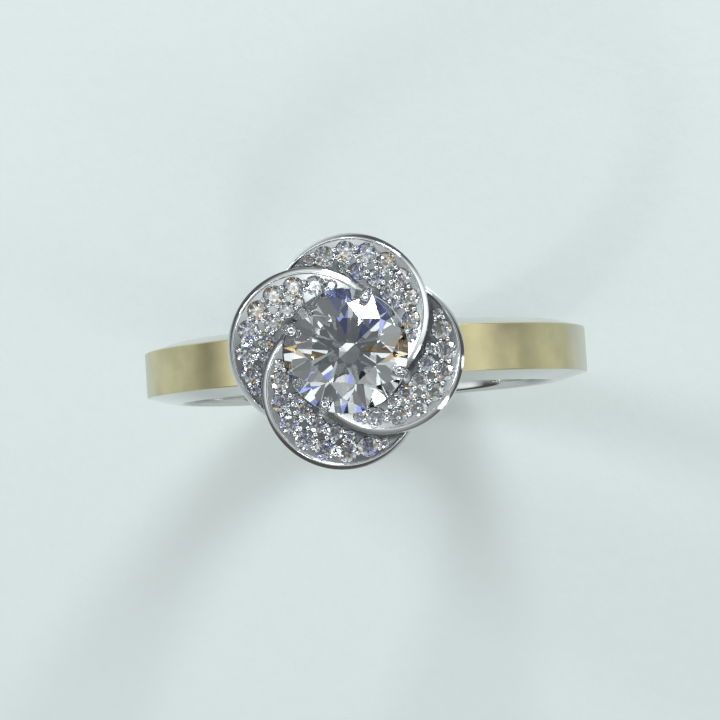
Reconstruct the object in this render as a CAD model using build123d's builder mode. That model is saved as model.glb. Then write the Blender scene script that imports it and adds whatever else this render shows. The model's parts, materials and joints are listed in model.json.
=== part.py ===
"""Engagement ring with a flower head, in millimetres.

The shank is a round hoop with a flat outer face and sloping sides. On its top stands a
fabricated head: a base ring, four claws with a bearer rail, and four struts with a gallery
rail. They carry four dished petals that overlap like a pinwheel round one round brilliant,
and each petal is set with ten small brilliants.

The origin is the centre of the finger hole. Y runs along the finger, X across the hoop and
Z up through the head.
"""

from build123d import *

import os
from math import asin, cos, degrees, radians, sin, sqrt

# Shank
bore_radius = 8.6
shank_thickness = 1.65
face_width = 2.05
bore_width = 2.95
comfort_radius = 0.30
face_edge_radius = 0.07
seat_height = 9.6
light_hole_radius = 0.7

# Round brilliant proportions, as shares of the stone's radius
table_share = 0.56
crown_share = 0.302
girdle_share = 0.07
pavilion_share = 0.863
star_apex_share = 0.759
lower_half_share = 0.22
kite_step = 45.0

# Centre stone
stone_diameter = 5.2
stone_radius = stone_diameter / 2
stone_turn = 16.0
culet_gap = 0.38
girdle_height = seat_height + culet_gap + stone_radius * (pavilion_share + girdle_share)

# Petals: each is part of a dished disc whose centre stands off the head's axis
petal_count = 4
petal_names = ["right", "back", "left", "front"]
petal_turn = -10.6
petal_radius = 3.37
petal_offset = 1.58
dish_radius = 9.0
petal_thickness = 0.42
petal_lean = 7.0
petal_height = 11.86
rim_width = 0.28
rim_rise = 0.15
tail_angle = 62.0
tip_angle = 104.0
well_gap = 0.03

# Small stones on a petal, by their distance from the dish's centre and their angle,
# clockwise: an outer row of seven along the rim, an inner row of three, and tiny accents
# in the corners that the rows leave
small_diameter = 0.86
inner_diameter = 0.72
accent_diameter = 0.46
rim_gap = 0.03
outer_radius = petal_radius - rim_width - small_diameter / 2 - rim_gap
outer_row = (outer_radius, -31.0, 90.0, 7)
inner_row = (1.82, 3.0, 53.0, 3)
accents = [(2.84, -44.7), (1.98, -16.4), (1.96, 71.6), (2.82, 103.9)]
set_depth = 0.03
seat_gap = 0.02
drill_radius = 0.16

# Claws: each stands where the tip of a petal's rim reaches the centre stone
claw_angle = -13.4
claw_radius = 0.22
claw_foot = (1.45, 9.95)
claw_shoulder = (2.74, 12.32)
claw_tip = (2.42, 12.76)
claw_bend = 0.40

# Base ring, bearer rail, gallery rail and its struts
base_ring_radius = 1.45
base_ring_wall = 0.62
base_ring_height = 0.75
base_ring_edge = 0.12
bearer_radius = 1.77
bearer_height = 11.15
bearer_wire = 0.24
gallery_radius = 2.98
gallery_height = 10.95
gallery_wire = 0.26
strut_angle = 32.0
strut_wire = 0.28
strut_bend = 0.6
strut_points = [(1.50, 10.02), (2.95, 10.45), (3.55, 11.25), (3.80, 12.15)]


def polar(radius: float, angle: float, height: float) -> Vector:
    """A point at that distance from Z, turned about it."""
    return Vector(radius * cos(radians(angle)), radius * sin(radians(angle)), height)


def about_z(angle: float) -> Location:
    """A turn about the head's axis."""
    return Location((0, 0, 0), (0, 0, angle))


def facet(a: Vector, b: Vector, c: Vector) -> Plane:
    """The plane through three points, facing away from the stone's middle."""
    normal = (b - a).cross(c - a).normalized()
    if normal.dot(a) < 0:
        normal = normal * -1
    return Plane(origin=a, z_dir=normal)


def brilliant_facets(radius: float) -> list[Plane]:
    """The table, crown and pavilion of a round brilliant whose girdle's top is at z = 0."""
    half = kite_step / 2
    table = crown_share * radius
    belly = -girdle_share * radius
    culet = Vector(0, 0, belly - pavilion_share * radius)
    kite_slope = crown_share / (1 - table_share)
    apex_height = (1 - star_apex_share * cos(radians(half))) * kite_slope * radius
    fold_height = belly - pavilion_share * radius * (1 - lower_half_share * cos(radians(half)))
    planes = [Plane(origin=(0, 0, table))]
    for step in range(8):
        turn = step * kite_step
        low_apex = polar(star_apex_share * radius, turn - half, apex_height)
        high_apex = polar(star_apex_share * radius, turn + half, apex_height)
        low_fold = polar(lower_half_share * radius, turn - half, fold_height)
        high_fold = polar(lower_half_share * radius, turn + half, fold_height)
        corner = polar(table_share * radius, turn, table)
        next_corner = polar(table_share * radius, turn + kite_step, table)
        planes.append(facet(corner, low_apex, high_apex))
        planes.append(facet(corner, high_apex, next_corner))
        planes.append(facet(culet, low_fold, high_fold))
        for side, apex, fold in ((-half, low_apex, low_fold), (half, high_apex, high_fold)):
            main_point = polar(radius, turn, 0)
            side_point = polar(radius, turn + side, 0)
            drop = Vector(0, 0, belly)
            planes.append(facet(main_point, side_point, apex))
            planes.append(facet(main_point + drop, side_point + drop, fold))
    return planes


def make_brilliant(diameter: float) -> Part:
    """A round brilliant cut, its axis along Z and its girdle's top at z = 0."""
    radius = diameter / 2
    with BuildPart() as stone:
        Cylinder(radius, 4 * radius)
        for plane in brilliant_facets(radius):
            split(bisect_by=plane, keep=Keep.BOTTOM)
    return stone.part


def petal_dish() -> Location:
    """Where the first petal's dish has its lowest point."""
    return Location((petal_offset, 0, petal_height), (-petal_lean, 0, 0))


def on_dish(radius: float, around: float) -> Location:
    """A place on the first petal, square to the dish and sunk by the set depth."""
    steep = degrees(asin(radius / dish_radius))
    sphere_centre = petal_dish() * Location((0, 0, dish_radius), (0, 0, -around))
    leaned = sphere_centre * Location((0, 0, 0), (0, -steep, 0))
    return leaned * Location((0, 0, -dish_radius - set_depth))


def row_places() -> list[tuple[Location, float]]:
    """Each place in the two rows on the first petal, and its stone's diameter."""
    places = []
    for row, diameter in ((outer_row, small_diameter), (inner_row, inner_diameter)):
        radius, first, last, count = row
        for step in range(count):
            around = first + (last - first) * step / (count - 1)
            places.append((on_dish(radius, around), diameter))
    return places


def make_seat(diameter: float) -> Part:
    """The cutter for one small stone: open above, conical below, drilled through."""
    radius = diameter / 2 + seat_gap
    belly = -girdle_share * diameter / 2 - seat_gap
    depth = belly - pavilion_share * diameter / 2 - seat_gap
    with BuildPart() as seat:
        with BuildSketch(Plane.XZ):
            with BuildLine():
                Polyline(
                    (0, diameter),
                    (radius, diameter),
                    (radius, belly),
                    (drill_radius, depth + drill_radius),
                    (drill_radius, -diameter),
                    (0, -diameter),
                    close=True,
                )
            make_face()
        revolve(axis=Axis.Z)
    return seat.part


def make_rail(radius: float, height: float, wire: float) -> Part:
    """A round wire bent into a closed ring about the head's axis."""
    with BuildPart() as rail:
        with BuildSketch(Plane.XZ):
            with Locations((radius, height)):
                Circle(wire)
        revolve(axis=Axis.Z)
    return rail.part


def turned(shape: Part | Solid, angle: float) -> Part:
    """A copy of a piece, turned about the head's axis."""
    with BuildPart() as copy:
        with Locations(about_z(angle)):
            add(shape)
    return copy.part


quarter = 360 / petal_count
petal_turns = [petal_turn + quarter * index for index in range(petal_count)]
os.makedirs("parts", exist_ok=True)

# The shank, flattened under the head and drilled there to let light in
with BuildPart() as shank:
    with BuildSketch(Plane.XY):
        with BuildLine():
            Polyline(
                (bore_radius, -bore_width / 2),
                (bore_radius + shank_thickness, -face_width / 2),
                (bore_radius + shank_thickness, face_width / 2),
                (bore_radius, bore_width / 2),
                close=True,
            )
        section = make_face()
        fillet(section.vertices().group_by(Axis.X)[0], radius=comfort_radius)
        fillet(section.vertices().group_by(Axis.X)[-1], radius=face_edge_radius)
    revolve(axis=Axis.Y)
    with Locations((0, 0, seat_height + shank_thickness)):
        Box(4 * bore_radius, 2 * bore_width, 2 * shank_thickness, mode=Mode.SUBTRACT)
    with Locations((0, 0, seat_height)):
        Cylinder(light_hole_radius, 4 * shank_thickness, mode=Mode.SUBTRACT)
shank.part.label = "shank"
export_step(shank.part, "parts/shank.step")

# The centre stone
centre_cut = make_brilliant(stone_diameter)
with BuildPart() as centre_stone:
    with Locations(Location((0, 0, girdle_height), (0, 0, stone_turn))):
        add(centre_cut)
centre_stone.part.label = "centre_stone"
export_step(centre_stone.part, "parts/centre_stone.step")

# The first claw: a wire that leans out to the girdle and folds over the crown
with BuildPart() as first_claw:
    with BuildLine(Plane.XZ) as claw_route:
        FilletPolyline(claw_foot, claw_shoulder, claw_tip, radius=claw_bend)
    with BuildSketch(Plane(origin=claw_route.line @ 0, z_dir=claw_route.line % 0)):
        Circle(claw_radius)
    sweep()
    with Locations(claw_route.line @ 1):
        Sphere(claw_radius)
    add(centre_stone.part, mode=Mode.SUBTRACT)
claws = [turned(first_claw.part, turn + claw_angle) for turn in petal_turns]

# The first petal's blank: a sector of a dished disc whose rim is raised and rounded
dish_plane = Plane(petal_dish())
dish_section = Plane(dish_plane.origin, x_dir=dish_plane.x_dir, z_dir=-dish_plane.y_dir)
back_radius = dish_radius + petal_thickness
rim_inside = petal_radius - rim_width
rim_foot = dish_radius - sqrt(dish_radius**2 - rim_inside**2)
rim_low = dish_radius - sqrt(back_radius**2 - petal_radius**2)
middle = petal_radius / 2
dish_middle = dish_radius - sqrt(dish_radius**2 - middle**2)
back_middle = dish_radius - sqrt(back_radius**2 - middle**2)
petal_reach = 4 * petal_radius
head_depth = 2 * (girdle_height - seat_height)
with BuildPart() as blank_petal:
    with BuildSketch(dish_section):
        with BuildLine():
            ThreePointArc((0, 0), (middle, dish_middle), (rim_inside, rim_foot))
            ThreePointArc(
                (rim_inside, rim_foot),
                (petal_radius - rim_width / 2, rim_foot + rim_rise),
                (petal_radius, rim_foot),
            )
            Line((petal_radius, rim_foot), (petal_radius, rim_low))
            ThreePointArc((petal_radius, rim_low), (middle, back_middle), (0, -petal_thickness))
            Line((0, -petal_thickness), (0, 0))
        make_face()
    revolve(axis=Axis(dish_plane.origin, dish_plane.z_dir))
    with BuildSketch(Plane.XY.offset(seat_height)):
        with BuildLine():
            Polyline(
                (0, 0),
                polar(petal_reach, -tip_angle, 0),
                polar(petal_reach, -tip_angle / 2, 0),
                polar(petal_reach, tail_angle, 0),
                close=True,
            )
        make_face()
    extrude(amount=head_depth, mode=Mode.INTERSECT)
    with BuildSketch(Plane.XY.offset(seat_height)):
        Circle(stone_radius + well_gap)
    extrude(amount=head_depth, mode=Mode.SUBTRACT)
blank_petals = [turned(blank_petal.part, turn) for turn in petal_turns]

# The first petal: cut away under its neighbour, for the claws and for its stones
seats = {size: make_seat(size) for size in (small_diameter, inner_diameter, accent_diameter)}
accent_places = [on_dish(radius, around) for radius, around in accents]
next_petal = turned(blank_petal.part, quarter)
own_claws = [turned(first_claw.part, claw_angle - step * quarter) for step in range(2)]
with BuildPart() as first_petal:
    add(blank_petal.part)
    add(next_petal, mode=Mode.SUBTRACT)
    for place, diameter in row_places():
        with Locations(place):
            add(seats[diameter], mode=Mode.SUBTRACT)
    for place in accent_places:
        with Locations(place):
            add(seats[accent_diameter], mode=Mode.SUBTRACT)
    for claw_piece in own_claws:
        add(claw_piece, mode=Mode.SUBTRACT)

# The gallery rail, and the first strut: a wire that curves out from the base ring, is
# notched to hold the rail, and ends under a petal
gallery_rail = make_rail(gallery_radius, gallery_height, gallery_wire)
gallery_rail.label = "gallery_rail"
export_step(gallery_rail, "parts/gallery_rail.step")
with BuildPart() as strut_bar:
    with BuildLine(Plane.XZ) as strut_route:
        FilletPolyline(*strut_points, radius=strut_bend)
    with BuildSketch(Plane(origin=strut_route.line @ 0, z_dir=strut_route.line % 0)):
        Circle(strut_wire)
    sweep()
with BuildPart() as trimmed_strut:
    add(turned(strut_bar.part, strut_angle))
    for step in range(-1, 2):
        add(turned(blank_petal.part, step * quarter), mode=Mode.SUBTRACT)
    add(gallery_rail, mode=Mode.SUBTRACT)
lowest_strut = trimmed_strut.part.solids().sort_by(Axis.Z)[0]
struts = [turned(lowest_strut, turn) for turn in petal_turns]

# The base ring, notched for the wires that are soldered into it
with BuildPart() as base_ring:
    with BuildSketch(Plane.XY.offset(seat_height)):
        Circle(base_ring_radius + base_ring_wall / 2)
        Circle(base_ring_radius - base_ring_wall / 2, mode=Mode.SUBTRACT)
    extrude(amount=base_ring_height)
    ring_tops = base_ring.edges().filter_by(GeomType.CIRCLE).group_by(Axis.Z)[-1]
    fillet(ring_tops, radius=base_ring_edge)
    for wire_piece in claws + struts:
        add(wire_piece, mode=Mode.SUBTRACT)
base_ring.part.label = "base_ring"
export_step(base_ring.part, "parts/base_ring.step")

# The bearer rail, notched where the claws pass outside it
bearer_blank = make_rail(bearer_radius, bearer_height, bearer_wire)
with BuildPart() as bearer_rail:
    add(bearer_blank)
    for claw_piece in claws:
        add(claw_piece, mode=Mode.SUBTRACT)
bearer_rail.part.label = "bearer_rail"
export_step(bearer_rail.part, "parts/bearer_rail.step")

# The four petals, claws, struts and sets of small stones
small_cuts = {size: make_brilliant(size) for size in (small_diameter, inner_diameter)}
for index, side in enumerate(petal_names):
    with BuildPart() as petal:
        with Locations(about_z(petal_turns[index])):
            add(first_petal.part)
    petal.part.label = f"petal_{side}"
    export_step(petal.part, f"parts/petal_{side}.step")

    claw = claws[index]
    claw.label = f"claw_{side}"
    export_step(claw, f"parts/claw_{side}.step")

    strut = struts[index]
    strut.label = f"strut_{side}"
    export_step(strut, f"parts/strut_{side}.step")

    for number, (place, diameter) in enumerate(row_places(), start=1):
        with BuildPart() as small_stone:
            with Locations(about_z(petal_turns[index]) * place):
                add(small_cuts[diameter])
        small_stone.part.label = f"melee_{side}_{number:02d}"
        export_step(small_stone.part, f"parts/melee_{side}_{number:02d}.step")

# The accents are alike, so they are one group of separate stones
accent_cut = make_brilliant(accent_diameter)
with BuildPart() as accent_stones:
    for turn in petal_turns:
        for place in accent_places:
            with Locations(about_z(turn) * place):
                add(accent_cut)
accent_stones.part.label = "accent_stones"
export_step(accent_stones.part, "parts/accent_stones.step")
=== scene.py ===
import json
from itertools import combinations
from math import asin, cos, pi, radians, sin, sqrt, tan

import bmesh
import bpy
from bpy.props import FloatProperty, FloatVectorProperty, IntProperty, PointerProperty
from mathutils import Matrix, Vector


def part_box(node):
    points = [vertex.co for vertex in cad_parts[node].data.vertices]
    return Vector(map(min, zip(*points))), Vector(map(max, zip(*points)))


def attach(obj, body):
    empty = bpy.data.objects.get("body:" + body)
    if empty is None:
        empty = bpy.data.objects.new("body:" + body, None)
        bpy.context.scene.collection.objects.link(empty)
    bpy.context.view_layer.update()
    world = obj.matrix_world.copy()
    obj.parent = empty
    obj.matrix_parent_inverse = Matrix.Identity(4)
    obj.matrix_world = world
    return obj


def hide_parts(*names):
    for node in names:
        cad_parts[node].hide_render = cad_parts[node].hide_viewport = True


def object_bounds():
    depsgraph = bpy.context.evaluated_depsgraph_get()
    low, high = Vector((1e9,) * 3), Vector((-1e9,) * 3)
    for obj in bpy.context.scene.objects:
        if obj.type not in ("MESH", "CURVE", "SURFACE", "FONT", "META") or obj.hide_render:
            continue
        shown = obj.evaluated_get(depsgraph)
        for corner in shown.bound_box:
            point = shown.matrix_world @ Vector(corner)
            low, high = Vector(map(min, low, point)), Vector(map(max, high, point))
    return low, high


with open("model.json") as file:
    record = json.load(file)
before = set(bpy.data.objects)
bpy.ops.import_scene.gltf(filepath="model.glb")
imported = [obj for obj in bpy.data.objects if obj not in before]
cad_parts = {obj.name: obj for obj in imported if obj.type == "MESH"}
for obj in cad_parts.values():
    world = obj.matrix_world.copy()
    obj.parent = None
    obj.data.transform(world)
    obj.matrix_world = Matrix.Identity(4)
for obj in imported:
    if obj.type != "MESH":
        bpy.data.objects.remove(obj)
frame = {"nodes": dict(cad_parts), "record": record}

bl_info = {
    "name": "Flower-head ring",
    "version": (1, 0, 0),
    "blender": (4, 5, 0),
    "location": "View3D > Sidebar > Ring",
    "description": "Makes the shank, head, petals, beads and stones of a flower-head ring",
    "category": "Add Mesh",
}

MM = 0.001
QUARTER = pi / 2
SIDES = ("right", "back", "left", "front")
SLANT = Vector((1.0, 37.3, 1511.7))
CAD_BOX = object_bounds()
BORE = frame["record"]["mounts"][0]["dims"]
SHANK_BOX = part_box("shank")
STONE_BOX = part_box("centre_stone")
STONE_WIDTH = STONE_BOX[1].x - STONE_BOX[0].x

# Small stones on a petal, clockwise about the dish's centre: each row's first angle, last
# angle and count, and each accent's distance in millimetres and its angle
OUTER_ROW = (-31.0, 90.0, 7)
INNER_ROW = (3.0, 53.0, 3)
ACCENTS = ((2.84, -44.7), (1.98, -16.4), (1.96, 71.6), (2.82, 103.9))

# A claw's points out from the head's axis and up, each with its share of the wire's radius
CLAW_POINTS = (
    (1.45, 9.95, 1.0),
    (2.10, 11.14, 1.0),
    (2.72, 12.29, 1.0),
    (2.43, 12.74, 1.0),
    (2.35, 12.85, 0.85),
    (2.30, 12.91, 0.5),
    (2.29, 12.93, 0.03),
)

# How far from the head's axis a strut's top stands, and how far it goes into its petal
STRUT_REACH = 3.78
STRUT_OVERLAP = 0.1

# Roughness of the bare polish, what the wiping marks add to it, and what a satin finish adds
POLISH = 0.045
MARKS = 0.12
SATIN = 0.22
MARK_STRETCH = 9
MARK_DEPTH = 0.000004

# How coarsely a facet's direction picks its draw, and how many of the flashes are blue
FACET_SNAP = 0.02
BLUE_SHARE = 0.55

# Lights: name, direction and height in degrees, sides in metres, and power in watts
LIGHTS = (
    ("key", 150.0, 28.0, (0.07, 0.04), 0.13),
    ("window", 69.0, 21.0, (0.08, 0.05), 0.29),
    ("low", -35.0, 18.0, (0.04, 0.03), 0.03),
    ("front", -115.0, 44.0, (0.03, 0.03), 0.04),
    ("side", 0.0, 5.0, (0.03, 0.02), 0.006),
)
LIGHT_DISTANCE = 0.22
LIGHT_COLOUR = (0.93, 1.0, 1.0)

# The surround's colours from straight below, at 0, over the horizon to straight above, at 1
BACK_SKY = (
    (0.0, (0.58, 0.62, 0.62)),
    (0.50, (0.10, 0.105, 0.105)),
    (0.61, (0.09, 0.095, 0.095)),
    (0.69, (1.30, 1.39, 1.39)),
    (0.78, (1.12, 1.20, 1.20)),
    (0.85, (0.24, 0.255, 0.255)),
    (0.95, (0.15, 0.16, 0.165)),
    (1.0, (0.12, 0.125, 0.13)),
)
FRONT_SKY = (
    (0.0, (0.57, 0.61, 0.60)),
    (0.50, (0.10, 0.10, 0.095)),
    (0.63, (0.08, 0.08, 0.075)),
    (0.74, (0.50, 0.53, 0.52)),
    (0.85, (1.75, 1.85, 1.82)),
    (0.94, (1.70, 1.80, 1.77)),
    (0.975, (0.46, 0.49, 0.49)),
    (1.0, (0.12, 0.125, 0.13)),
)


def length(name, description, millimetres):
    """A property that holds a length."""
    return FloatProperty(
        name=name,
        description=description,
        default=millimetres * MM,
        unit="LENGTH",
        subtype="DISTANCE",
        precision=5,
    )


def turn(name, description, degrees):
    """A property that holds an angle."""
    return FloatProperty(
        name=name,
        description=description,
        default=radians(degrees),
        unit="ROTATION",
        subtype="ANGLE",
    )


def colour(name, description, rgb):
    """A property that holds a colour."""
    return FloatVectorProperty(
        name=name,
        description=description,
        default=rgb,
        size=3,
        min=0,
        max=1,
        subtype="COLOR",
    )


def share(name, description, value):
    """A property that holds a number from 0 to 1."""
    return FloatProperty(name=name, description=description, default=value, subtype="FACTOR")


class ShankSizes(bpy.types.PropertyGroup):
    """The hoop, flattened where the head stands."""

    bore_radius: length("Bore radius", "Radius of the finger hole", BORE["r_mm"])
    outer_radius: length("Outer radius", "Radius of the outer face", SHANK_BOX[1].x / MM)
    face_width: length("Face width", "Width of the flat outer face", 2.05)
    bore_width: length("Bore width", "Width at the finger hole before the edges are rounded", 2.95)
    comfort_radius: length("Comfort radius", "Rounding of the edges that meet the finger", 0.30)
    face_edge_radius: length("Face edge", "Rounding of the outer face's edges", 0.07)
    seat_height: length("Seat height", "Height of the flat under the head", 9.6)
    light_hole: length("Light hole", "Radius of the hole under the centre stone", 0.7)
    steps: IntProperty(name="Steps", description="Steps round the hoop", default=288)


class PetalSizes(bpy.types.PropertyGroup):
    """A petal: part of a dished disc whose centre stands off the head's axis."""

    turn: turn("Turn", "Direction of the first petal", -10.6)
    radius: length("Radius", "Radius of the petal's round outline", 3.37)
    offset: length("Offset", "Distance of the dish's centre from the head's axis", 1.58)
    dish_radius: length("Dish radius", "Radius of the sphere that the dish follows", 9.0)
    thickness: length("Thickness", "Thickness of the plate", 0.42)
    lean: turn("Lean", "How far the tip stands above the tail", 7.0)
    height: length("Height", "Height of the dish's lowest point", 11.86)
    rim_width: length("Rim width", "Width of the polished rim", 0.28)
    rim_rise: length("Rim rise", "Height of the rim above the dish", 0.15)
    rim_slope: turn("Rim slope", "Slope of the rim's outer side", 41.0)
    tail: turn("Tail", "Where the petal starts, under its neighbour", 62.0)
    tip: turn("Tip", "Where the petal ends, at the centre stone", 104.0)
    well_gap: length("Well gap", "Gap between the petals and the centre stone", 0.03)
    drill_radius: length("Drill radius", "Radius of the hole under each small stone", 0.16)
    seat_gap: length("Seat gap", "Gap between a small stone and its seat", 0.02)
    bead_radius: length("Bead radius", "Radius of the beads that hold the stones", 0.105)


class StoneSizes(bpy.types.PropertyGroup):
    """The stones' sizes, and the rows that the small ones stand in."""

    centre: length("Centre stone", "Diameter of the centre stone", STONE_WIDTH / MM)
    small: length("Outer row", "Diameter of the stones along the rim", 0.86)
    inner: length("Inner row", "Diameter of the stones in the inner row", 0.72)
    accent: length("Accents", "Diameter of the stones in the corners", 0.46)
    set_depth: length("Set depth", "How far the girdles stand below the dish", 0.03)
    inner_ring: length("Inner ring", "Distance of the inner row from the dish's centre", 1.82)
    rim_gap: length("Rim gap", "Metal between the outer row and the rim", 0.03)
    girdle: share("Girdle", "Girdle height as a share of the radius", 0.07)
    pavilion: share("Pavilion", "Pavilion depth as a share of the radius", 0.863)


class HeadSizes(bpy.types.PropertyGroup):
    """The claws, rails, struts and base ring that carry the stones and petals."""

    ring_radius: length("Base ring", "Radius of the base ring", 1.45)
    ring_wall: length("Base ring wall", "Wall of the base ring", 0.62)
    ring_height: length("Base ring height", "Height of the base ring", 0.75)
    ring_edge: length("Base ring edge", "Rounding of the base ring's edges", 0.12)
    bearer_radius: length("Bearer rail", "Radius of the rail inside the claws", 1.77)
    bearer_height: length("Bearer height", "Height of the rail inside the claws", 11.15)
    bearer_wire: length("Bearer wire", "Radius of that rail's wire", 0.24)
    gallery_radius: length("Gallery rail", "Radius of the rail on the struts", 2.98)
    gallery_height: length("Gallery height", "Height of the rail on the struts", 10.95)
    gallery_wire: length("Gallery wire", "Radius of that rail's wire", 0.26)
    claw_angle: turn("Claw angle", "Direction of a claw from its petal's", -13.4)
    claw_wire: length("Claw wire", "Radius of a claw", 0.22)
    strut_angle: turn("Strut angle", "Direction of a strut from its petal's", 32.0)
    strut_wire: length("Strut wire", "Radius of a strut", 0.28)


class Finishes(bpy.types.PropertyGroup):
    """The colours of the metal, the stones and the floor, with a painted reflection in the outer
    face and painted shade in the walls and the stone bed.
    """

    # Outer face: partly the unplated white gold's own champagne tone, partly a painted reflection
    # of a warm room above.
    face: colour("Outer face", "Warm white gold of the shank's outer face", (0.66, 0.575, 0.34))
    # Walls: unplated white gold darkened further with painted shade, so they stand apart from the
    # bright floor they mirror.
    shank: colour("Shank", "White gold of the shank's walls", (0.60, 0.605, 0.59))
    head: colour("Head", "Rhodium-plated white gold", (0.82, 0.825, 0.835))
    # Stone bed: darker partly from tool marks, partly from painted shade in the hollows between
    # the small stones.
    bed: colour("Stone bed", "Rhodium-plated gold between the small stones", (0.44, 0.45, 0.46))
    ice: colour("Ice", "Plain light through a stone", (0.93, 0.965, 1.0))
    small_ice: colour("Small ice", "Plain light through a small stone", (0.78, 0.80, 0.84))
    blue: colour("Blue fire", "Blue flash in a stone", (0.36, 0.42, 1.0))
    amber: colour("Amber fire", "Warm flash in a stone", (1.0, 0.66, 0.32))
    floor: colour("Floor", "Pale floor", (0.70, 0.745, 0.74))


class StudioSizes(bpy.types.PropertyGroup):
    """The camera and the floor."""

    distance: length("Camera distance", "From the middle of the ring to the camera", 110.0)
    side: turn("Camera side", "Lean of the view towards the right of the hoop", 3.9)
    front: turn("Camera front", "Lean of the view towards the front of the hoop", 2.8)
    roll: turn("Camera roll", "Turn of the picture", 3.8)
    lens: FloatProperty(name="Lens", description="Focal length in millimetres", default=122.0)
    aim_height: length("Aim height", "Height of the point in the middle of the view", 4.0)
    floor_side: length("Floor side", "Side of the square floor", 6000.0)


class RingSettings(bpy.types.PropertyGroup):
    """Everything that a user would change."""

    shank: PointerProperty(type=ShankSizes)
    petal: PointerProperty(type=PetalSizes)
    stone: PointerProperty(type=StoneSizes)
    head: PointerProperty(type=HeadSizes)
    finish: PointerProperty(type=Finishes)
    studio: PointerProperty(type=StudioSizes)


# Shaders


class Value:
    """A shader socket that can stand in arithmetic."""

    def __init__(self, shader, socket):
        self.shader = shader
        self.socket = socket

    def __add__(self, other):
        return self.shader.math("ADD", self, other)

    def __sub__(self, other):
        return self.shader.math("SUBTRACT", self, other)

    def __rsub__(self, other):
        return self.shader.math("SUBTRACT", other, self)

    def __mul__(self, other):
        return self.shader.math("MULTIPLY", self, other)

    def __pow__(self, other):
        return self.shader.math("POWER", self, other)

    def __abs__(self):
        return self.shader.math("ABSOLUTE", self)

    __radd__ = __add__
    __rmul__ = __mul__


class Shader:
    """A node tree, and the one way that nodes are added to it."""

    def __init__(self, owner):
        owner.use_nodes = True
        self.tree = owner.node_tree
        self.tree.nodes.clear()

    def node(self, kind, settings=None, *values, out=0, **named):
        """Adds a node, sets it up, fills its sockets and gives one of its outputs."""
        made = self.tree.nodes.new("ShaderNode" + kind)
        for key, setting in (settings or {}).items():
            if key == "stops":
                self.set_stops(made.color_ramp, setting)
            else:
                setattr(made, key, setting)
        for index, value in enumerate(values):
            self.fill(made.inputs[index], value)
        for name, value in named.items():
            self.fill(made.inputs[name.replace("_", " ")], value)
        return Value(self, made.outputs[out]) if made.outputs else None

    def fill(self, socket, value):
        """Links a socket to a value, or sets it to a number, vector or colour."""
        if isinstance(value, Value):
            self.tree.links.new(value.socket, socket)
        elif socket.type == "RGBA":
            socket.default_value = (*value, 1.0)
        else:
            socket.default_value = value

    def set_stops(self, ramp, stops):
        """Gives a ramp its stops, each a position and a colour."""
        ramp.interpolation = "LINEAR"
        for index, (place, rgb) in enumerate(stops):
            stop = ramp.elements[index] if index < 2 else ramp.elements.new(place)
            stop.position = place
            stop.color = (*rgb, 1.0)

    def math(self, operation, *values):
        """The result of a Math node."""
        return self.node("Math", {"operation": operation}, *values)

    def place(self):
        """The Object coordinates, in millimetres."""
        spot = self.node("TexCoord", out="Object")
        return self.node("VectorMath", {"operation": "SCALE"}, spot, Scale=1 / MM)

    def axis(self, vector, name):
        """One axis of a vector."""
        return self.node("SeparateXYZ", None, vector, out=name)

    def mix(self, factor, first, second):
        """A colour between two colours."""
        mixed = self.node("Mix", {"data_type": "RGBA"}, factor, out=2)
        # Behind the factor stand the sockets for numbers and vectors, then those for colours
        first_colour, second_colour = mixed.socket.node.inputs[6:8]
        self.fill(first_colour, first)
        self.fill(second_colour, second)
        return mixed

    def smooth(self, value, start, end):
        """0 before start and 1 after end, with a soft step between."""
        settings = {"interpolation_type": "SMOOTHSTEP"}
        return self.node("MapRange", settings, value, start, end, 0.0, 1.0)


def darker(rgb, amount):
    """A colour brought down to that share of itself."""
    return [part * amount for part in rgb]


def metal(name, rgb, recipe=None, texture_scale=3.0, satin=None):
    """Polished metal with fine wiping marks and a slightly uneven polish.

    A recipe works out the colour, and satin is a mask of where the polish is duller.
    """
    material = bpy.data.materials.new(name)
    shader = Shader(material)
    spot = shader.place()
    stretch = (texture_scale, texture_scale * MARK_STRETCH, texture_scale)
    stretched = shader.node("Mapping", None, spot, Scale=stretch)
    marks = shader.node("TexNoise", None, stretched, Scale=6.0, Detail=4.0, Roughness=0.6)
    haze = shader.node("TexNoise", None, spot, Scale=0.9, Detail=3.0)
    if recipe:
        tint = recipe(shader, spot, rgb)
    else:
        tint = shader.mix(haze * 0.4, rgb, darker(rgb, 0.94))
    roughness = POLISH + MARKS * marks * haze
    if satin:
        roughness = roughness + SATIN * satin(shader, spot)
    bump = shader.node("Bump", None, Strength=0.10, Distance=MARK_DEPTH, Height=marks)
    surface = shader.node(
        "BsdfPrincipled",
        None,
        Base_Color=tint,
        Metallic=1.0,
        Roughness=roughness,
        Normal=bump,
    )
    shader.node("OutputMaterial", None, Surface=surface)
    return material


def all_over(shader, spot):
    """A mask of the whole piece."""
    return 1.0


def outer_face(settings):
    """A mask of the hoop's outer face."""
    rim = settings.shank.outer_radius / MM

    def mask(shader, spot):
        x = shader.axis(spot, "X")
        z = shader.axis(spot, "Z")
        return shader.smooth((x * x + z * z) ** 0.5, rim - 0.06, rim - 0.015)

    return mask


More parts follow.
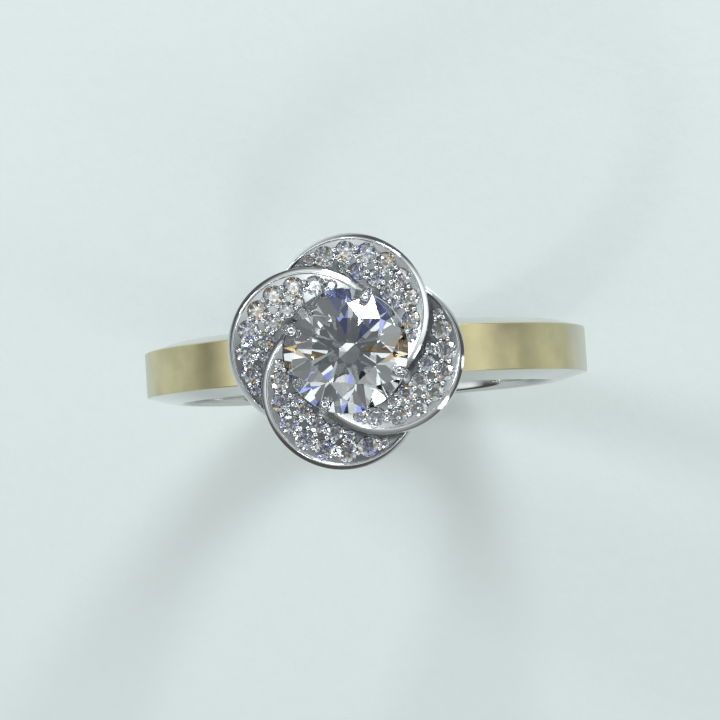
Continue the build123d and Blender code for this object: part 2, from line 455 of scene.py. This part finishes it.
def face_tint_and_painted_reflection(settings):
    """A colour recipe: the hoop's outer face gets its own warm tone plus a painted reflection of a
    warm room, paler towards the sides; the walls stay plain.
    """
    warm = settings.finish.face
    rim = settings.shank.outer_radius / MM
    on_face = outer_face(settings)

    def recipe(shader, spot, rgb):
        x = shader.axis(spot, "X")
        z = shader.axis(spot, "Z")
        # Painted reflection: the warm tint is strongest on top and falls to about a third where
        # the face turns down at the sides, as a face mirroring the pale floor would.
        upper = shader.smooth(z, -2.0, 2.0)
        ends = 1 - shader.smooth(abs(x), rim - 1.1, rim - 0.1)
        cloud = shader.node("TexNoise", None, spot, Scale=0.5, Detail=3.0)
        shade = shader.mix(shader.smooth(cloud, 0.35, 0.65), warm, darker(warm, 0.82))
        return shader.mix(on_face(shader, spot) * (0.35 + 0.65 * upper * ends), rgb, shade)

    return recipe


def gem(name, finish, clear, fire, draw):
    """Clear cut stone; some of its lower facets send light back blue or amber.

    Fire is the share of lower facets that do, and another draw picks other facets.
    """
    material = bpy.data.materials.new(name)
    shader = Shader(material)
    facing = shader.node("NewGeometry", out="True Normal")
    snap = (FACET_SNAP, FACET_SNAP, FACET_SNAP)
    facet = shader.node("VectorMath", {"operation": "SNAP"}, facing, snap)
    chance = shader.node("TexWhiteNoise", {"noise_dimensions": "4D"}, facet, draw)
    inside = shader.node("NewGeometry", out="Backfacing")
    lower = inside * shader.smooth(shader.axis(facing, "Z"), 0.2, 0.3)
    lit = lower * shader.math("LESS_THAN", chance, fire)
    is_blue = shader.math("LESS_THAN", chance, fire * BLUE_SHARE)
    flash = shader.mix(is_blue, finish.amber, finish.blue)
    surface = shader.node(
        "BsdfPrincipled",
        None,
        Base_Color=shader.mix(lit, clear, flash),
        Metallic=lit,
        Roughness=0.0,
        IOR=2.42,
        Transmission_Weight=1.0,
    )
    shader.node("OutputMaterial", None, Surface=surface)
    return material


def ground(finish):
    """The pale floor."""
    material = bpy.data.materials.new("pale_floor")
    shader = Shader(material)
    grain = shader.node("TexNoise", None, shader.place(), Scale=1.6, Detail=6.0)
    tint = shader.mix(grain, finish.floor, darker(finish.floor, 0.965))
    bump = shader.node("Bump", None, Strength=0.25, Distance=0.0001, Height=grain)
    surface = shader.node("BsdfPrincipled", None, Base_Color=tint, Roughness=0.6, Normal=bump)
    shader.node("OutputMaterial", None, Surface=surface)
    return material


# Meshes, in millimetres until they are finished


def finish_piece(mesh, name, materials, replaced=None):
    """Brings a mesh to metres, and makes it a piece that rides on the ring."""
    bmesh.ops.scale(mesh, vec=(MM, MM, MM), verts=mesh.verts)
    data = bpy.data.meshes.new(name)
    mesh.to_mesh(data)
    mesh.free()
    data.shade_smooth()
    data.set_sharp_from_angle(angle=radians(30.0))
    for material in materials:
        data.materials.append(material)
    piece = bpy.data.objects.new(name, data)
    bpy.context.scene.collection.objects.link(piece)
    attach(piece, "root")
    if replaced:
        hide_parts(replaced)


def outline(points):
    """A mesh that holds an open outline in the XZ plane."""
    mesh = bmesh.new()
    verts = [mesh.verts.new((x, 0, z)) for x, z in points]
    for pair in zip(verts, verts[1:]):
        mesh.edges.new(pair)
    return mesh


def round_corners(mesh, corners, offset, segments):
    """Rounds corners of a flat section."""
    bmesh.ops.bevel(
        mesh,
        geom=corners,
        offset=offset,
        segments=segments,
        profile=0.5,
        affect="VERTICES",
        material=-1,
    )


def put_in_order(mesh):
    """Sorts a mesh along a slant, because a spin leaves its parts in another order each run."""
    mesh.verts.sort(key=lambda vert: vert.co.dot(SLANT))
    mesh.edges.sort(key=lambda edge: (edge.verts[0].co + edge.verts[1].co).dot(SLANT))
    mesh.faces.sort(key=lambda face: face.calc_center_median().dot(SLANT))


def spin_round(mesh, axis, steps):
    """Turns an outline or a flat section into a closed solid of revolution."""
    bmesh.ops.delete(mesh, geom=mesh.faces[:], context="FACES_ONLY")
    bmesh.ops.spin(
        mesh,
        geom=mesh.verts[:] + mesh.edges[:],
        cent=(0, 0, 0),
        axis=axis,
        angle=2 * pi,
        steps=steps,
        use_merge=True,
    )
    bmesh.ops.remove_doubles(mesh, verts=mesh.verts, dist=1e-5)
    bmesh.ops.recalc_face_normals(mesh, faces=mesh.faces)
    put_in_order(mesh)


def drill_bit(radius, depth, height, segments):
    """An upright cylinder on the head's axis, to drill with."""
    mesh = bmesh.new()
    bmesh.ops.create_cone(
        mesh,
        cap_ends=True,
        segments=segments,
        radius1=radius,
        radius2=radius,
        depth=depth,
        matrix=Matrix.Translation((0, 0, height)),
    )
    return mesh


def turned_copy(mesh, angle):
    """A copy of a mesh turned about the head's axis."""
    copy = mesh.copy()
    bmesh.ops.rotate(copy, verts=copy.verts, cent=(0, 0, 0), matrix=Matrix.Rotation(angle, 3, "Z"))
    return copy


def cut(mesh, tools):
    """What is left of a solid when the tools are taken out of it."""
    scene = bpy.context.scene
    bench = bpy.data.collections.new("bench")
    scene.collection.children.link(bench)
    made = []
    for solid in [mesh, *tools]:
        data = bpy.data.meshes.new("bench")
        solid.to_mesh(data)
        solid.free()
        made.append(bpy.data.objects.new("bench", data))
    scene.collection.objects.link(made[0])
    for tool in made[1:]:
        bench.objects.link(tool)
    saw = made[0].modifiers.new("saw", "BOOLEAN")
    saw.operation = "DIFFERENCE"
    saw.operand_type = "COLLECTION"
    saw.collection = bench
    saw.solver = "EXACT"
    graph = bpy.context.evaluated_depsgraph_get()
    left = bmesh.new()
    left.from_object(made[0], graph)
    for used in made:
        bpy.data.objects.remove(used)
    bpy.data.collections.remove(bench)
    return left


def slice_off(mesh, point, normal):
    """Takes away what lies beyond a plane, and closes the cut."""
    cutting = bmesh.ops.bisect_plane(
        mesh,
        geom=mesh.verts[:] + mesh.edges[:] + mesh.faces[:],
        dist=1e-6,
        plane_co=point,
        plane_no=normal,
        clear_outer=True,
    )
    rim = [item for item in cutting["geom_cut"] if isinstance(item, bmesh.types.BMEdge)]
    bmesh.ops.contextual_create(mesh, geom=rim)


def tube(name, points, wire):
    """A round wire along a smooth route in the XZ plane; each point has a share of its radius."""
    curve = bpy.data.curves.new(name, "CURVE")
    curve.dimensions = "3D"
    curve.bevel_depth = wire
    curve.bevel_resolution = 8
    curve.use_fill_caps = True
    spline = curve.splines.new("NURBS")
    spline.points.add(len(points) - 1)
    for point, (x, z, swell) in zip(spline.points, points):
        point.co = (x, 0, z, 1)
        point.radius = swell
    spline.order_u = 3
    spline.use_endpoint_u = True
    spline.resolution_u = 12
    holder = bpy.data.objects.new(name, curve)
    data = bpy.data.meshes.new_from_object(holder)
    mesh = bmesh.new()
    mesh.from_mesh(data)
    bpy.data.objects.remove(holder)
    bmesh.ops.remove_doubles(mesh, verts=mesh.verts, dist=1e-4)
    bmesh.ops.recalc_face_normals(mesh, faces=mesh.faces)
    return mesh


def stone_spots(settings):
    """Every small stone on a petal: its place on the dish, seen from above, and its radius."""
    petal, stone = settings.petal, settings.stone
    outer_ring = petal.radius - petal.rim_width - stone.small / 2 - stone.rim_gap
    spots = []
    for ring, row, diameter in (
        (outer_ring, OUTER_ROW, stone.small),
        (stone.inner_ring, INNER_ROW, stone.inner),
    ):
        first, last, count = row
        for step in range(count):
            around = radians(first + (last - first) * step / (count - 1))
            spots.append((ring / MM, around, diameter / 2 / MM))
    for ring, around in ACCENTS:
        spots.append((ring, radians(around), stone.accent / 2 / MM))
    return spots


def dish_place(petal):
    """The matrix from the dish's own axes to the first petal's place."""
    lowest = Matrix.Translation((petal.offset / MM, 0, petal.height / MM))
    return lowest @ Matrix.Rotation(-petal.lean, 4, "X")


def on_dish(petal, ring, around, sink):
    """The matrix of a place on the first petal, square to its dish."""
    dish = petal.dish_radius / MM
    centre = dish_place(petal) @ Matrix.Translation((0, 0, dish))
    steep = Matrix.Rotation(-asin(ring / dish), 4, "Y")
    leaned = centre @ Matrix.Rotation(-around, 4, "Z") @ steep
    return leaned @ Matrix.Translation((0, 0, -dish - sink))


def bowl_height(reach, sphere, dish):
    """How high a sphere about the dish's centre stands over the dish's lowest point."""
    return dish - sqrt(sphere**2 - reach**2)


def rim_points(petal, inside, foot):
    """The polished rim: a quarter round, a soft crest, a slope and a soft outer edge."""
    edge, rise, slope = petal.radius / MM, petal.rim_rise / MM, petal.rim_slope
    crest = petal.rim_width / MM * 0.3
    crest_soft = 0.05
    edge_soft = 0.04
    steps = 5
    up = [QUARTER * i / steps for i in range(1, steps + 1)]
    over = [slope * i / steps for i in range(1, steps + 1)]
    down = [slope + (QUARTER - slope) * i / steps for i in range(steps + 1)]
    top_x, top_z = inside + crest, foot + rise
    points = [(inside + crest * (1 - cos(a)), foot + rise * sin(a)) for a in up]
    points += [(top_x + crest_soft * sin(a), top_z - crest_soft * (1 - cos(a))) for a in over]
    last_x, last_z = points[-1]
    fall = (edge - edge_soft * (1 - sin(slope)) - last_x) * tan(slope)
    low = last_z - fall - edge_soft * cos(slope)
    points += [(edge - edge_soft + edge_soft * sin(a), low + edge_soft * cos(a)) for a in down]
    return points


def petal_blank(petal, well):
    """The first petal before its seats are cut."""
    dish, plate = petal.dish_radius / MM, petal.thickness / MM
    edge = petal.radius / MM
    inside = edge - petal.rim_width / MM
    foot = bowl_height(inside, dish, dish)
    rings = 14
    reaches = [inside * i / rings for i in range(rings + 1)]
    top = [(reach, bowl_height(reach, dish, dish)) for reach in reaches]
    reaches = [edge * i / rings for i in range(rings + 1)]
    under = [(reach, bowl_height(reach, dish + plate, dish)) for reach in reaches]
    soft = 0.05
    low = under[-1][1]
    wall = [(edge, low + soft), (edge - soft * 0.3, low + soft * 0.3)]
    under[-1] = (edge - soft, low - soft * 0.35)
    mesh = outline(top + rim_points(petal, inside, foot) + wall + under[::-1])
    spin_round(mesh, (0, 0, 1), 192)
    # Faces of the dish between the stones take the second, darker material: partly tool marks,
    # partly painted shade.
    for face in mesh.faces:
        middle = face.calc_center_median()
        reach = middle.xy.length
        on_bed = reach < inside and middle.z > foot * (reach / inside) ** 2 - plate / 2
        face.material_index = 1 if on_bed else 0
    bmesh.ops.transform(mesh, matrix=dish_place(petal), verts=mesh.verts)
    for beyond in (petal.tail + QUARTER, -petal.tip - QUARTER):
        slice_off(mesh, (0, 0, 0), (cos(beyond), sin(beyond), 0))
    return cut(mesh, [drill_bit(well, 10, petal.height / MM, 128)])


def seat_tool(radius, stone, petal):
    """The cutter for one small stone: open above, conical below, drilled through."""
    gap, drill = petal.seat_gap / MM, petal.drill_radius / MM
    wide = radius + gap
    belly = -stone.girdle * radius - gap
    depth = belly - stone.pavilion * radius - gap
    above = 0.4
    below = -2 * radius
    mesh = outline(
        [
            (0, above),
            (wide, above),
            (wide, belly),
            (drill, depth + drill),
            (drill, below),
            (0, below),
        ]
    )
    spin_round(mesh, (0, 0, 1), 40)
    return mesh


def bead_spots(settings):
    """Where beads stand on a petal: in the corners between neighbouring stones."""
    petal = settings.petal
    stones = [(Vector((r * cos(a), -r * sin(a))), size) for r, a, size in stone_spots(settings)]
    bead = petal.bead_radius / MM
    lap = bead * 0.55
    stone_gap = bead * 0.3
    edge_gap = bead * 0.35
    spacing = bead * 1.5
    inside = (petal.radius - petal.rim_width) / MM
    head = Vector((-petal.offset / MM, 0))
    next_dish = head + Vector((0, petal.offset / MM))
    well = settings.stone.centre / 2 / MM + petal.well_gap / MM
    found = []
    for (first, first_radius), (second, second_radius) in combinations(stones, 2):
        a, b = first_radius + lap, second_radius + lap
        apart = (second - first).length
        if apart > a + b:
            continue
        along = (apart**2 + a**2 - b**2) / (2 * apart)
        aside = sqrt(max(a**2 - along**2, 0))
        ahead = (second - first).normalized()
        for side in (-1, 1):
            spot = first + ahead * along + Vector((-ahead.y, ahead.x)) * aside * side
            room = min(
                inside - spot.length,
                (spot - head).length - well,
                (spot - next_dish).length - petal.radius / MM,
            )
            clear = all((spot - s).length > r + stone_gap for s, r in stones)
            lonely = all((spot - other).length > spacing for other in found)
            if room > edge_gap and clear and lonely:
                found.append(spot)
    return found


# Operators


class RING_OT_stage(bpy.types.Operator):
    """Makes the floor, the lights and the camera."""

    bl_idname = "ring.stage"
    bl_label = "Stage"

    def execute(self, context):
        settings = context.scene.ring
        self.add_floor(context, settings)
        self.add_world(context)
        for name, around, above, size, power in LIGHTS:
            self.add_light(context, name, radians(around), radians(above), size, power)
        self.add_camera(context, settings.studio)
        context.scene.view_settings.view_transform = "Standard"
        return {"FINISHED"}

    def add_floor(self, context, settings):
        """A wide level floor under the hoop."""
        mesh = bmesh.new()
        half = settings.studio.floor_side / 2 / MM
        bmesh.ops.create_grid(mesh, x_segments=8, y_segments=8, size=half)
        bmesh.ops.translate(mesh, vec=(0, 0, CAD_BOX[0].z / MM), verts=mesh.verts)
        bmesh.ops.scale(mesh, vec=(MM, MM, MM), verts=mesh.verts)
        data = bpy.data.meshes.new("floor")
        mesh.to_mesh(data)
        mesh.free()
        data.materials.append(ground(settings.finish))
        floor = bpy.data.objects.new("floor", data)
        context.scene.collection.objects.link(floor)

    def add_world(self, context):
        """A soft surround with a bright band, low behind the ring and high in front of it."""
        world = bpy.data.worlds.new("studio")
        context.scene.world = world
        shader = Shader(world)
        way = shader.node("TexCoord", out="Generated")
        up = shader.axis(way, "Z") * 0.5 + 0.5
        behind = shader.axis(way, "Y") * 0.5 + 0.5
        sky = shader.mix(
            shader.smooth(behind, 0.14, 0.46),
            shader.node("ValToRGB", {"stops": FRONT_SKY}, up),
            shader.node("ValToRGB", {"stops": BACK_SKY}, up),
        )
        glow = shader.node("Background", None, Color=sky, Strength=1.0)
        shader.node("OutputWorld", None, Surface=glow)

    def add_light(self, context, name, around, above, size, power):
        """A soft rectangular light aimed at the head."""
        lamp = bpy.data.lights.new(name, "AREA")
        lamp.shape = "RECTANGLE"
        lamp.size, lamp.size_y = size
        lamp.energy = power
        lamp.color = LIGHT_COLOUR
        holder = bpy.data.objects.new(name, lamp)
        away = Vector((cos(around) * cos(above), sin(around) * cos(above), sin(above)))
        holder.location = away * LIGHT_DISTANCE + Vector((0, 0, CAD_BOX[1].z))
        holder.rotation_euler = (-away).to_track_quat("-Z", "Y").to_euler()
        holder.visible_camera = False
        context.scene.collection.objects.link(holder)

    def add_camera(self, context, studio):
        """The camera, almost straight above the head."""
        camera = bpy.data.cameras.new("camera")
        camera.lens = studio.lens
        camera.clip_start = 0.002
        camera.clip_end = 10
        holder = bpy.data.objects.new("camera", camera)
        context.scene.collection.objects.link(holder)
        away = Vector((tan(studio.side), -tan(studio.front), 1)).normalized()
        right = Vector((cos(studio.roll), -sin(studio.roll), 0))
        up = away.cross(right).normalized()
        right = up.cross(away)
        aim = Vector((0, 0, studio.aim_height))
        turned = Matrix((right, up, away)).transposed().to_4x4()
        holder.matrix_world = Matrix.Translation(aim + away * studio.distance) @ turned
        context.scene.camera = holder


class RING_OT_shank(bpy.types.Operator):
    """Makes the polished hoop with its warm outer face, partly a painted reflection, and walls
    darkened with painted shade.
    """

    bl_idname = "ring.shank"
    bl_label = "Shank"

    def execute(self, context):
        settings = context.scene.ring
        sizes = settings.shank
        inner, outer = sizes.bore_radius / MM, sizes.outer_radius / MM
        bore, face = sizes.bore_width / MM, sizes.face_width / MM
        seat = sizes.seat_height / MM
        mesh = bmesh.new()
        corners = [(inner, -bore / 2), (outer, -face / 2), (outer, face / 2), (inner, bore / 2)]
        verts = [mesh.verts.new((x, y, 0)) for x, y in corners]
        mesh.faces.new(verts)
        wall = Vector((outer - inner, (bore - face) / 2)).normalized()
        for pair, radius, spread in (
            ([verts[0], verts[3]], sizes.comfort_radius / MM, QUARTER - asin(wall.y)),
            ([verts[1], verts[2]], sizes.face_edge_radius / MM, QUARTER + asin(wall.y)),
        ):
            round_corners(mesh, pair, radius / tan(spread / 2), 8)
        spin_round(mesh, (0, 1, 0), sizes.steps)
        slice_off(mesh, (0, 0, seat), (0, 0, 1))
        hoop = cut(mesh, [drill_bit(sizes.light_hole / MM, 4, seat, 64)])
        gold = metal(
            "white_gold_shank_painted_reflection_and_shade",
            settings.finish.shank,
            recipe=face_tint_and_painted_reflection(settings),
            texture_scale=1.5,
            satin=outer_face(settings),
        )
        finish_piece(hoop, "shank_polished", [gold], "shank")
        return {"FINISHED"}


class RING_OT_head_wires(bpy.types.Operator):
    """Makes the base ring, the two rails, the struts and the claws."""

    bl_idname = "ring.head_wires"
    bl_label = "Head wires"

    def execute(self, context):
        settings = context.scene.ring
        head, petal = settings.head, settings.petal
        rhodium = metal("rhodium_wire", settings.finish.head)
        self.base_ring(head, settings.shank, rhodium)
        for name, ring, height, wire in (
            ("bearer_rail", head.bearer_radius, head.bearer_height, head.bearer_wire),
            ("gallery_rail", head.gallery_radius, head.gallery_height, head.gallery_wire),
        ):
            mesh = bmesh.new()
            upright = Matrix.Rotation(QUARTER, 4, "X")
            place = Matrix.Translation((ring / MM, 0, height / MM)) @ upright
            bmesh.ops.create_circle(mesh, segments=32, radius=wire / MM, matrix=place)
            spin_round(mesh, (0, 0, 1), 144)
            finish_piece(mesh, name + "_wire", [rhodium], name)
        claw = tube("claw", CLAW_POINTS, head.claw_wire / MM)
        strut = tube("strut", self.strut_points(petal, head), head.strut_wire / MM)
        stone = bmesh.new()
        stone.from_mesh(frame["nodes"]["centre_stone"].data)
        bmesh.ops.scale(stone, vec=(1 / MM, 1 / MM, 1 / MM), verts=stone.verts)
        bmesh.ops.remove_doubles(stone, verts=stone.verts, dist=1e-4)
        for index, side in enumerate(SIDES):
            angle = petal.turn + index * QUARTER
            notched = cut(turned_copy(claw, angle + head.claw_angle), [stone.copy()])
            finish_piece(notched, "claw_wire_" + side, [rhodium], "claw_" + side)
            bent = turned_copy(strut, angle + head.strut_angle)
            finish_piece(bent, "strut_wire_" + side, [rhodium], "strut_" + side)
        for used in (claw, strut, stone):
            used.free()
        return {"FINISHED"}

    def base_ring(self, head, shank, material):
        """The short tube that the wires are soldered into."""
        near = (head.ring_radius - head.ring_wall / 2) / MM
        far = (head.ring_radius + head.ring_wall / 2) / MM
        low = shank.seat_height / MM
        high = low + head.ring_height / MM
        mesh = bmesh.new()
        corners = [(near, low), (far, low), (far, high), (near, high)]
        verts = [mesh.verts.new((x, 0, z)) for x, z in corners]
        mesh.faces.new(verts)
        round_corners(mesh, verts[2:], head.ring_edge / MM, 6)
        spin_round(mesh, (0, 0, 1), 96)
        finish_piece(mesh, "base_ring_polished", [material], "base_ring")

    def strut_points(self, petal, head):
        """The strut's points, the last one just inside the petal that it carries."""
        u = STRUT_REACH * cos(head.strut_angle) - petal.offset / MM
        v = STRUT_REACH * sin(head.strut_angle)
        dish = petal.dish_radius / MM
        back = dish + petal.thickness / MM
        under = petal.height / MM + dish - sqrt(back**2 - u**2 - v**2) - v * sin(petal.lean)
        return [
            (1.50, 10.02, 1.0),
            (2.95, 10.40, 1.0),
            (3.62, 11.15, 1.0),
            (STRUT_REACH, under + STRUT_OVERLAP, 1.0),
        ]


class RING_OT_petals(bpy.types.Operator):
    """Makes the four petals with their rims, seats and beads."""

    bl_idname = "ring.petals"
    bl_label = "Petals"

    def execute(self, context):
        settings = context.scene.ring
        petal, stone, head = settings.petal, settings.stone, settings.head
        rhodium = metal("rhodium_petal", settings.finish.head)
        # The stone bed's darker colour is partly tool marks and partly painted shade between the
        # stones.
        bed = metal("rhodium_stone_bed_marks_and_painted_shade", settings.finish.bed, texture_scale=9.0, satin=all_over)
        blank = petal_blank(petal, (stone.centre / 2 + petal.well_gap) / MM)
        tools = [turned_copy(blank, QUARTER)]
        for ring, around, radius in stone_spots(settings):
            seat = seat_tool(radius, stone, petal)
            place = on_dish(petal, ring, around, stone.set_depth / MM)
            bmesh.ops.transform(seat, matrix=place, verts=seat.verts)
            tools.append(seat)
        claw = tube("claw", CLAW_POINTS, head.claw_wire / MM)
        for step in range(2):
            tools.append(turned_copy(claw, head.claw_angle - step * QUARTER))
        first = cut(blank, tools)
        beads = self.beads(settings)
        for index, side in enumerate(SIDES):
            angle = petal.turn + index * QUARTER
            plate = turned_copy(first, angle)
            finish_piece(plate, "petal_plate_" + side, [rhodium, bed], "petal_" + side)
            grains = turned_copy(beads, angle)
            finish_piece(grains, "petal_beads_" + side, [rhodium])
        for used in (claw, first, beads):
            used.free()
        return {"FINISHED"}

    def beads(self, settings):
        """The first petal's beads, each a low dome pushed over its stones' edges."""
        petal = settings.petal
        raised = 0.03
        flattened = Matrix.Diagonal((1, 1, 0.8, 1))
        mesh = bmesh.new()
        for spot in bead_spots(settings):
            around = Vector((1, 0)).angle_signed(spot)
            place = on_dish(petal, spot.length, around, -raised) @ flattened
            bmesh.ops.create_icosphere(
                mesh, subdivisions=3, radius=petal.bead_radius / MM, matrix=place
            )
        return mesh


class RING_OT_stones(bpy.types.Operator):
    """Gives the cut stones their material."""

    bl_idname = "ring.stones"
    bl_label = "Stones"

    def execute(self, context):
        finish = context.scene.ring.finish
        centre = gem("clear_brilliant", finish, finish.ice, fire=0.16, draw=11.0)
        small = gem("clear_small_stones", finish, finish.small_ice, fire=0.09, draw=1.0)
        for name, node in frame["nodes"].items():
            if name == "centre_stone":
                self.dress(node, centre)
            elif name.startswith(("melee", "accent")):
                self.dress(node, small)
        return {"FINISHED"}

    def dress(self, node, material):
        """Puts one material on a stone."""
        node.data.materials.clear()
        node.data.materials.append(material)


class RING_PT_panel(bpy.types.Panel):
    """The ring's sizes, colours and steps."""

    bl_idname = "RING_PT_panel"
    bl_label = "Flower-head ring"
    bl_space_type = "VIEW_3D"
    bl_region_type = "UI"
    bl_category = "Ring"

    def draw(self, context):
        for step in STEPS:
            self.layout.operator(step.bl_idname)
        for group in ("shank", "petal", "stone", "head", "finish", "studio"):
            box = self.layout.box()
            values = getattr(context.scene.ring, group)
            for name in values.bl_rna.properties.keys():
                if name not in ("rna_type", "name"):
                    box.prop(values, name)


STEPS = (RING_OT_stage, RING_OT_shank, RING_OT_head_wires, RING_OT_petals, RING_OT_stones)
GROUPS = (ShankSizes, PetalSizes, StoneSizes, HeadSizes, Finishes, StudioSizes, RingSettings)


def register():
    for item in (*GROUPS, *STEPS, RING_PT_panel):
        bpy.utils.register_class(item)
    bpy.types.Scene.ring = PointerProperty(type=RingSettings)


def unregister():
    del bpy.types.Scene.ring
    for item in reversed((*GROUPS, *STEPS, RING_PT_panel)):
        bpy.utils.unregister_class(item)


def main():
    register()
    bpy.ops.ring.stage()
    bpy.ops.ring.shank()
    bpy.ops.ring.head_wires()
    bpy.ops.ring.petals()
    bpy.ops.ring.stones()


if __name__ == "__main__":
    main()
